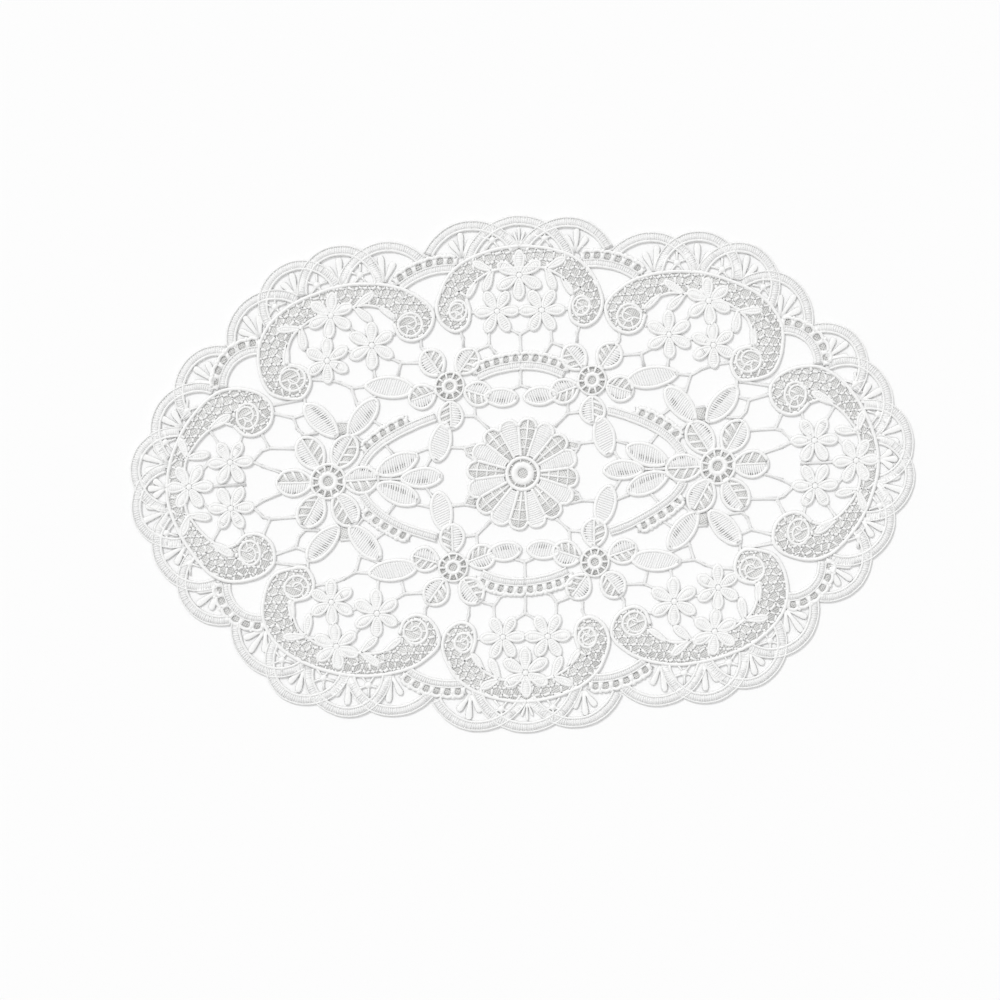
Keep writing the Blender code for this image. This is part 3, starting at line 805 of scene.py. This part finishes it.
# Big flowers: each petal is satin on one half and an open ladder on the other, round an eye of small holes
flowers = [Motif(-112.5, 0, 6, 30, 17, 0), Motif(-41, 52.3, 5, 25.5, 16, 54)]
eye = {
    "hub": 4.4, "outer": 9.9, "hubWidth": 3.3, "outerWidth": 1.8, "spokeWidth": 1.4, "height": 1.75,
    "scales": {6: 1.0, 5: 0.82},
}
petal = {
    "root": 9.2, "tipGap": 0.8, "fullness": 0.48, "widest": 0.54, "steps": 16,
    "cordWidth": 2.2, "cordHeight": 1.5, "ribEnd": 0.96, "ribHeight": 1.45,
    "satinSpan": (0.05, 1), "satinLean": 0.06, "thin": 0.85, "backed": 0.72, "netOverlap": 0.1,
    "barsAt": (0.16, 0.4, 0.64), "barWidth": 1.55, "barHeight": 1.2, "barLean": 0.18,
}
petalThreads = dict(leafThreads, fullness=petal["fullness"], widest=petal["widest"], pitch=1.35, parts=3)


def addBigPetal(centre, turnDeg, reach, width):
    root, tip = polar(centre, turnDeg, petal["root"]), polar(centre, turnDeg, reach - petal["tipGap"])
    _, along, side = leafFrame(root, tip)
    inside = addRim(root, tip, width, petal, centre)
    rib = smooth([root, root.lerp(tip, petal["ribEnd"])])
    addCord(motifCords, rib, petal["barWidth"], petal["ribHeight"], middle=centre)
    addThreads(
        satinWork, root, tip, inside, petalThreads, centre, petal["satinSpan"], petal["satinLean"],
        petal["thin"],
    )
    addGroundStrip(*(leafLine(root, tip, inside, petal, share) for share in (0, petal["backed"])), centre)
    # Grey nets of painted shade behind the petal's ladder: the lighter one on the inner half, the darker,
    # lower one on the outer part
    addShadeNet(leafBetween(root, tip, inside, petal, (0, -1)), centre)
    outerPart = (petal["backed"] - petal["netOverlap"], 1)
    addShadeNet(leafBetween(root, tip, inside, petal, outerPart), centre, isDeepShade=True)
    for t in petal["barsAt"]:
        far = t + petal["barLean"]
        start, end = root + along * t, root + along * far - side * leafHalfWidth(far, inside, petal)
        addBar(motifCords, start, end, petal["barWidth"], petal["barHeight"], middle=centre)
        addGround(strokeShape([start, end], petal["barWidth"] - cloth["slimInset"]), centre)


for flower in flowers:
    centre = (flower.centreX, flower.centreY)
    eyeHoles = flower.petals * 2
    scale = eye["scales"][flower.petals]
    # A low, darker net of painted shade lies in the eye's holes
    addShadeNet(ringRoute(centre, eye["outer"] * scale), centre, isDeepShade=True)
    for part in ("hub", "outer"):
        ring, width = ringRoute(centre, eye[part] * scale), eye[part + "Width"] * scale
        addThickRing(motifCords, ring, width, eye["height"], cloth["inset"], centre)
    for k in range(eyeHoles):
        turn = flower.startDeg + 360 / eyeHoles * (k + 0.5)
        spoke = [polar(centre, turn, eye[part] * scale) for part in ("hub", "outer")]
        addBar(motifCords, *spoke, eye["spokeWidth"], eye["height"], middle=centre)
        addGround(strokeShape(spoke, eye["spokeWidth"] - cloth["slimInset"]), centre)
    for k in range(flower.petals):
        addBigPetal(centre, flower.startDeg + 360 / flower.petals * k, flower.reach, flower.width)

# Small flowers inside the scrolls
florets = [
    Motif(0, 114.7, 6, 13.6, 7.6, 90), Motif(-13, 94, 6, 12.6, 7.4, 0),
    Motif(-109.3, 95.5, 6, 12.9, 7.6, 25), Motif(-111.3, 69.8, 6, 12.6, 7.4, 30),
    Motif(-86, 77, 6, 13.2, 7.6, 30), Motif(-192.5, 0, 6, 12.9, 7.6, 0),
    Motif(-168.5, 13, 6, 12.7, 7.4, 0),
]
floretLook = {
    "fullness": 0.52, "widest": 0.65, "steps": 9, "rimWidth": 2.2, "rimHeight": 1.6, "groundInset": 0.5,
    "root": 1.2, "knot": 3.0, "knotHeight": 1.8,
}
floretThreads = dict(
    leafThreads, fullness=floretLook["fullness"], widest=floretLook["widest"], pitch=1.2, width=(1.35, 1.6),
    height=(0.12, 0.22), base=1.25, parts=2,
)
floretWork = Lacework()


def addSmallPetal(base, tip, width, middle):
    inside = width - floretLook["rimWidth"]
    rim = leafShape(base, tip, inside, floretLook)
    addCord(
        floretWork, rim, floretLook["rimWidth"], floretLook["rimHeight"], closed=True, middle=middle, sides=3,
    )
    addThreads(floretWork, base, tip, inside, floretThreads, middle)
    addGround(leafShape(base, tip, width - floretLook["groundInset"], floretLook), middle)


for floret in florets:
    centre = (floret.centreX, floret.centreY)
    for k in range(floret.petals):
        turn = floret.startDeg + 360 / floret.petals * k
        base, tip = polar(centre, turn, floretLook["root"]), polar(centre, turn, floret.reach)
        addSmallPetal(base, tip, floret.width, centre)
    addKnot(floretWork, centre, floretLook["knot"], floretLook["knotHeight"])

# Sprays of small leaves on the scrolls' inner edges
sprays = [
    Leaf(-15.3, 118, -26, 123, 5.6), Leaf(-15.3, 118, -20, 106.4, 5.8), Leaf(-24.5, 112, -30.5, 103, 4.6),
    Leaf(-126.5, 89, -139.5, 88.7, 5.6), Leaf(-126.5, 89, -124.5, 77, 5.8),
    Leaf(-134.3, 80, -135.2, 68.5, 4.6), Leaf(-95.5, 99.7, -84.5, 107.5, 5.6),
    Leaf(-95.5, 99.7, -86.3, 91.5, 5.8), Leaf(-81.5, 100, -72, 92.8, 4.6),
    Leaf(-193.3, 17, -197.3, 28, 5.6), Leaf(-193.3, 17, -181, 18.3, 5.8), Leaf(-180.5, 33, -168.5, 40.5, 6.0),
]
for spray in sprays:
    base, tip = (spray.baseX, spray.baseY), (spray.tipX, spray.tipY)
    addSmallPetal(base, tip, spray.width, averageOf([base, tip]))

# Small knots close the joins where leaves or petals meet
meetings = {
    "places": [(-15.3, 118), (-126.5, 89), (-95.5, 99.7), (-193.3, 17), (-110.8, 82.5)],
    "radius": 1.5, "height": 1.7,
}
for place in meetings["places"]:
    addKnot(floretWork, place, meetings["radius"], meetings["height"])

# Middle rosette: a hub, a dashed ring and sixteen petals, satin and grid by turns
rosette = {
    "petals": 16, "firstDeg": 16, "satinDeg": 106, "coils": ((4.8, 4.1), (9.15, 2.4)), "coilHeight": 1.6,
    "ties": 8, "tieDeg": 8, "tieRadii": (6.4, 8.2), "tieWidth": 0.8, "tieHeight": 1.2,
    "root": 10.2, "shoulder": 27.3, "reach": 31.8, "tipTurn": 0.32, "tipDrop": 1.2,
    "cordWidth": 2.0, "cordHeight": 1.5, "pitch": 1.25, "satinShare": 0.82, "satinSpread": 0.9,
    "tipRadii": (29, 30.4, 31.3), "spine": (10.4, 31), "spineWidth": 1.2, "spineHeight": 1.3,
    "crossBars": (15.4, 20.7, 26.4), "crossWidth": 1.1, "crossHeight": 1.2,
}
rosetteWork = Lacework()
origin = (0.0, 0.0)
petalTurn = 360 / rosette["petals"]


def rosettePoint(turnDeg, radius):
    return polar(origin, turnDeg, radius)


def petalSpread(radius):
    # Half of a rosette petal's angle at that distance from the middle
    if radius < rosette["shoulder"]:
        return petalTurn / 2
    rest = (radius - rosette["shoulder"]) / (rosette["reach"] - rosette["shoulder"])
    return petalTurn / 2 * math.sqrt(max(0.0, 1 - rest ** 2))


def rowAcross(turnDeg, spread, radius):
    return [rosettePoint(turnDeg + share * spread, radius) for share in (-1, -0.5, 0, 0.5, 1)]


def addPetalCord(points):
    route = smooth(points)
    addCord(rosetteWork, route, rosette["cordWidth"], rosette["cordHeight"], middle=origin)
    addGround(strokeShape(route, rosette["cordWidth"] - cloth["inset"]), origin)


def addRosetteSatin(turnDeg):
    rows = round((rosette["reach"] - rosette["root"]) / rosette["pitch"])
    ends = []
    for row in range(1, rows):
        radius = rosette["root"] + (rosette["reach"] - rosette["root"]) * row / rows
        route = rowAcross(turnDeg, petalSpread(radius) * rosette["satinSpread"], radius)
        wide, high = (threadRandom.uniform(*leafThreads[size]) for size in ("width", "height"))
        wide *= rosette["satinShare"]
        addCord(satinWork, route, wide, high, leafThreads["base"], middle=origin, sides=3)
        ends.append((route[0], route[-1]))
    addGround([start for start, _ in ends] + [end for _, end in ends][::-1], origin)


def addRosetteGrid(turnDeg):
    radii = (rosette["root"], rosette["shoulder"], *rosette["tipRadii"])
    left, right = (
        [rosettePoint(turnDeg + side * petalSpread(radius), radius) for radius in radii] for side in (-1, 1)
    )
    # A grey net of painted shade fills the grid petal
    addShadeNet(left + right[::-1], origin)
    spine = [rosettePoint(turnDeg, radius) for radius in rosette["spine"]]
    addBar(rosetteWork, *spine, rosette["spineWidth"], rosette["spineHeight"], middle=origin)
    for radius in rosette["crossBars"]:
        line = rowAcross(turnDeg, petalSpread(radius), radius)
        width, height = rosette["crossWidth"], rosette["crossHeight"]
        addCord(rosetteWork, line, width, height, middle=origin, sides=3)


# A low, darker net of painted shade lies in the hub and the dashed ring's slits
addShadeNet(ringRoute(origin, rosette["root"]), origin, isDeepShade=True)
for radius, width in rosette["coils"]:
    ring = ringRoute(origin, radius)
    addThickRing(rosetteWork, ring, width, rosette["coilHeight"], cloth["slimInset"], origin)
for k in range(rosette["ties"]):
    turn = 360 / rosette["ties"] * k + rosette["tieDeg"]
    tie = [rosettePoint(turn, radius) for radius in rosette["tieRadii"]]
    addBar(rosetteWork, *tie, rosette["tieWidth"], rosette["tieHeight"], middle=origin)
for k in range(rosette["petals"]):
    turn = rosette["firstDeg"] + petalTurn * k
    left, right = (rosettePoint(turn + side * petalTurn / 2, rosette["shoulder"]) for side in (-1, 1))
    leftTip, rightTip = (
        rosettePoint(turn + side * petalTurn * rosette["tipTurn"], rosette["reach"] - rosette["tipDrop"])
        for side in (-1, 1)
    )
    addPetalCord([rosettePoint(turn + petalTurn / 2, rosette["root"]), right])
    addPetalCord([left, leftTip, rosettePoint(turn, rosette["reach"]), rightTip, right])
    if round((turn - rosette["satinDeg"]) / petalTurn) % 2 == 0:
        addRosetteSatin(turn)
    else:
        addRosetteGrid(turn)

# Bars that tie the motifs together
bars = [
    [(-34.5, 84), (-33, 80), (-33, 75)], [(-17.8, 83.3), (-18, 75.2), (-24, 73), (-27, 71)],
    [(-18, 75.2), (-14.5, 70.5), (-11, 68.5)], [(-6, 83.8), (0, 80.3), (6, 83.8)], [(0, 80.3), (0, 68)],
    [(-3, 94.2), (3, 94.2)], [(-25, 94), (-29, 94.3)], [(-57.5, 80.5), (-57.2, 75), (-55, 72.5)],
    [(-58, 66.3), (-69.5, 66.5), (-77, 70)], [(-69.5, 66.5), (-71, 59.5)], [(-85.5, 66), (-84.5, 58.5)],
    [(-75.5, 83.5), (-72, 83)], [(-5.5, 49), (0, 51), (5.5, 49)], [(0, 51), (0, 61)],
    [(-33.5, 34.5), (-26.7, 34), (-19, 26.5)], [(-26.7, 41), (-26.7, 34)],
    [(-41.5, 16.8), (-33.5, 16.2), (-27, 17.8)], [(-33.5, 16.2), (-31.5, 12), (-27, 8.5)],
    [(-32.3, 12.8), (-28, 13.2)], [(-53.5, 17), (-61, 14.8)], [(-56, 5.5), (-52.5, 11)],
    [(-74, 14.5), (-78.7, 20.3)], [(-89.5, 8.5), (-84, 4)], [(-86, 34.5), (-80, 30.3)],
    [(-97, 27), (-92.5, 22.3), (-87.5, 21)], [(-110.5, 58.5), (-104, 56.5), (-97.7, 53.3), (-89, 54.3)],
    [(-97.7, 53.3), (-95, 44), (-93, 42)], [(-95, 44.3), (-88, 46.8), (-82, 49.5)],
    [(-112, 58.7), (-121.5, 59.8)], [(-125, 49.5), (-124.5, 43)],
    [(-124.5, 40), (-131.5, 37.4), (-143.5, 40.5)],
    [(-131.5, 37.4), (-129.5, 31), (-126, 27.5), (-118, 28)],
    [(-150.5, 29.5), (-146, 20.3), (-130.5, 19.8)], [(-146, 20.3), (-150, 19), (-156, 13)],
    [(-156, 13), (-150, 9.7), (-139.5, 6)], [(-163.3, 23), (-161.5, 29)], [(-174.5, 23), (-180.3, 32)],
    [(-98.7, 88.5), (-95.8, 85)], [(-101, 75), (-97, 73.5)], [(-86, 89), (-86.3, 92.5)],
    [(-124.5, 78.5), (-121, 75.5)], [(-121.5, 64.5), (-125, 66)], [(-120.5, 91), (-127, 89)],
    [(-106, 34), (-99, 34)], [(-84, 0), (-68.5, 0)], [(-76, -3), (-76, 3)], [(-181, 0), (-160, 0)],
    [(-181, 13.5), (-186, 8)], [(-9.5, 108.5), (-7, 104)], [(-144.5, 45), (-126, 48.3)],
]
webs = [
    [(-33.5, 16.2), (-27.3, 17.6), (-28, 12), (-31.5, 12)],
    [(-106.3, 34), (-99.3, 34), (-100.5, 27), (-105.8, 27)],
]
barLook = {"width": 1.4, "height": 0.5, "flare": 1.6, "sides": 4}
barWork = Lacework()
# The webs are grey nets of painted shade
for web in webs:
    addShadeNet(web)
for bar in bars:
    addGround(strokeShape(bar, barLook["width"] - cloth["inset"]))
    for a, b in zip(bar, bar[1:]):
        size = barLook["width"], barLook["height"], averageOf(bar), barLook["flare"], barLook["sides"]
        addBar(barWork, a, b, *size)

# Drop petals that fan out in the arches
fans = [
    Ray(0, 131, 90, 12), Ray(-32.5, 126, 95, 15), Ray(-78, 113, 97, 17), Ray(-103, 113, 92, 17),
    Ray(-128.5, 107, 103, 15), Ray(-150, 84, 126, 17), Ray(-176.5, 60, 146, 16), Ray(-195.5, 34, 152, 15),
    Ray(-204, 13, 160, 18), Ray(-206, 0, 180, 11),
]
fanLook = {
    "spreadDeg": (-33, 0, 33), "topSpreadDeg": (-48, -20, 0, 20, 48), "middleShare": 0.95,
    "sideShare": 0.78, "parts": (0.06, 0.4, 0.65, 0.85, 0.96, 1), "taper": (0.6, 0.88, 1, 0.8, 0.4),
    "width": 4.1, "root": 1.3, "slimWithinDeg": 30, "slimShare": 0.45, "groundShare": 0.5,
    "base": 0.6, "height": 0.4,
}
for fan in fans:
    foot = (fan.footX, fan.footY)
    isTop = abs(fan.footX) < onAxis
    for spread in fanLook["topSpreadDeg" if isTop else "spreadDeg"]:
        reach = fan.length * fanLook["middleShare" if spread == 0 else "sideShare"]
        isSlim = isTop and abs(spread) < fanLook["slimWithinDeg"]
        wide = fanLook["width"] * (fanLook["slimShare"] if isSlim else 1)
        route = [polar(foot, fan.aimDeg + spread, reach * part) for part in fanLook["parts"]]
        widths = [fanLook["root"]] + [wide * share for share in fanLook["taper"]]
        addCord(floretWork, route, widths, fanLook["height"], fanLook["base"], middle=foot)
        addGround(strokeShape(route, wide * fanLook["groundShare"]), foot)

# Small knots, held by bars, where two arches cross
knots = [(-15, 135.5), (-91.5, 118.5), (-117, 113.5), (-141, 102), (-193, 44), (-206, 26.5)]
knotLook = {
    "radius": 2.1, "height": 1.8, "arms": 5, "firstDeg": 90, "reach": 6.6, "armWidth": 1.3, "armHeight": 1.2,
}
for knot in knots:
    addKnot(floretWork, knot, knotLook["radius"], knotLook["height"])
    for k in range(knotLook["arms"]):
        end = polar(knot, knotLook["firstDeg"] + 360 / knotLook["arms"] * k, knotLook["reach"])
        addBar(barWork, knot, end, knotLook["armWidth"], knotLook["armHeight"], middle=knot)

# The pieces
corners, triangles = joinedSheet(groundShapes)
baseCloth = makePiece("base_cloth", sheetWork(corners, triangles), groundShadeThread)
threadPieces = [
    ("arch_cords", archCords, cordThread), ("band_threads", rungs, satinShadeThread),
    ("bead_rows", beadWork, cordThread), ("scroll_cords", scrollCords, cordThread),
    ("scroll_net", netWork, cordThread), ("painted_shade_net", shadeNetWork, shadeNetThread),
    ("deep_painted_shade_net", deepShadeWork, deepShadeThread), ("motif_cords", motifCords, cordThread),
    ("leaf_threads", threadWork, satinShadeThread), ("satin_threads", satinWork, satinShadeThread),
    ("small_flowers", floretWork, cordThread), ("middle_rosette", rosetteWork, cordThread),
    ("tie_bars", barWork, cordThread),
]
others = [makePiece(*piece) for piece in threadPieces]
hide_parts("lace_mat")

# Floor, light and camera
floorLook = {"size": 30.0, "gap": 0.0002, "colour": (0.93, 0.93, 0.93), "roughness": 0.9, "specular": 0.1}
lightLook = {"world": 0.73, "key": 1.42, "keySpreadDeg": 14, "keyFrom": (-0.48, 0.72, 0.9)}
photo = {
    "matCentre": (522.7, 473.8), "matLength": 780, "realLength": 0.45, "side": 1000, "turnDeg": -2.25,
    "focalLength": 85,
}

bpy.ops.mesh.primitive_plane_add(size=floorLook["size"], location=(0, 0, matLow.z - floorLook["gap"]))
floor = bpy.context.object
floor.name = "floor"
floorPaint = bpy.data.materials.new("floor_paint")
floorPaint.use_nodes = True
floorShader = floorPaint.node_tree.nodes["Principled BSDF"]
floorShader.inputs["Base Color"].default_value = (*floorLook["colour"], 1)
floorShader.inputs["Roughness"].default_value = floorLook["roughness"]
floorShader.inputs["Specular IOR Level"].default_value = floorLook["specular"]
floor.data.materials.append(floorPaint)

scene = bpy.context.scene
scene.world = scene.world or bpy.data.worlds.new("studio")
scene.world.use_nodes = True
background = scene.world.node_tree.nodes["Background"]
background.inputs["Color"].default_value = (1, 1, 1, 1)
background.inputs["Strength"].default_value = lightLook["world"]
keyData = bpy.data.lights.new("key", "SUN")
keyData.energy = lightLook["key"]
keyData.angle = math.radians(lightLook["keySpreadDeg"])
key = bpy.data.objects.new("key", keyData)
key.rotation_euler = Vector(lightLook["keyFrom"]).to_track_quat("Z", "Y").to_euler()
scene.collection.objects.link(key)

pixel = photo["realLength"] / photo["matLength"]
cameraData = bpy.data.cameras.new("photo_camera")
cameraData.lens = photo["focalLength"]
camera = bpy.data.objects.new("photo_camera", cameraData)
turn = Euler((0, 0, math.radians(photo["turnDeg"])))
across, down = photo["matCentre"]
offset = Vector((photo["side"] / 2 - across, down - photo["side"] / 2, 0)) * pixel
offset.rotate(turn)
height = photo["side"] * pixel * cameraData.lens / cameraData.sensor_width
camera.location = matCentre + offset + Vector((0, 0, height))
camera.rotation_euler = turn
scene.collection.objects.link(camera)
scene.camera = camera
scene.view_settings.view_transform = "Standard"
print("camera", round(height, 3), "m above the mat")
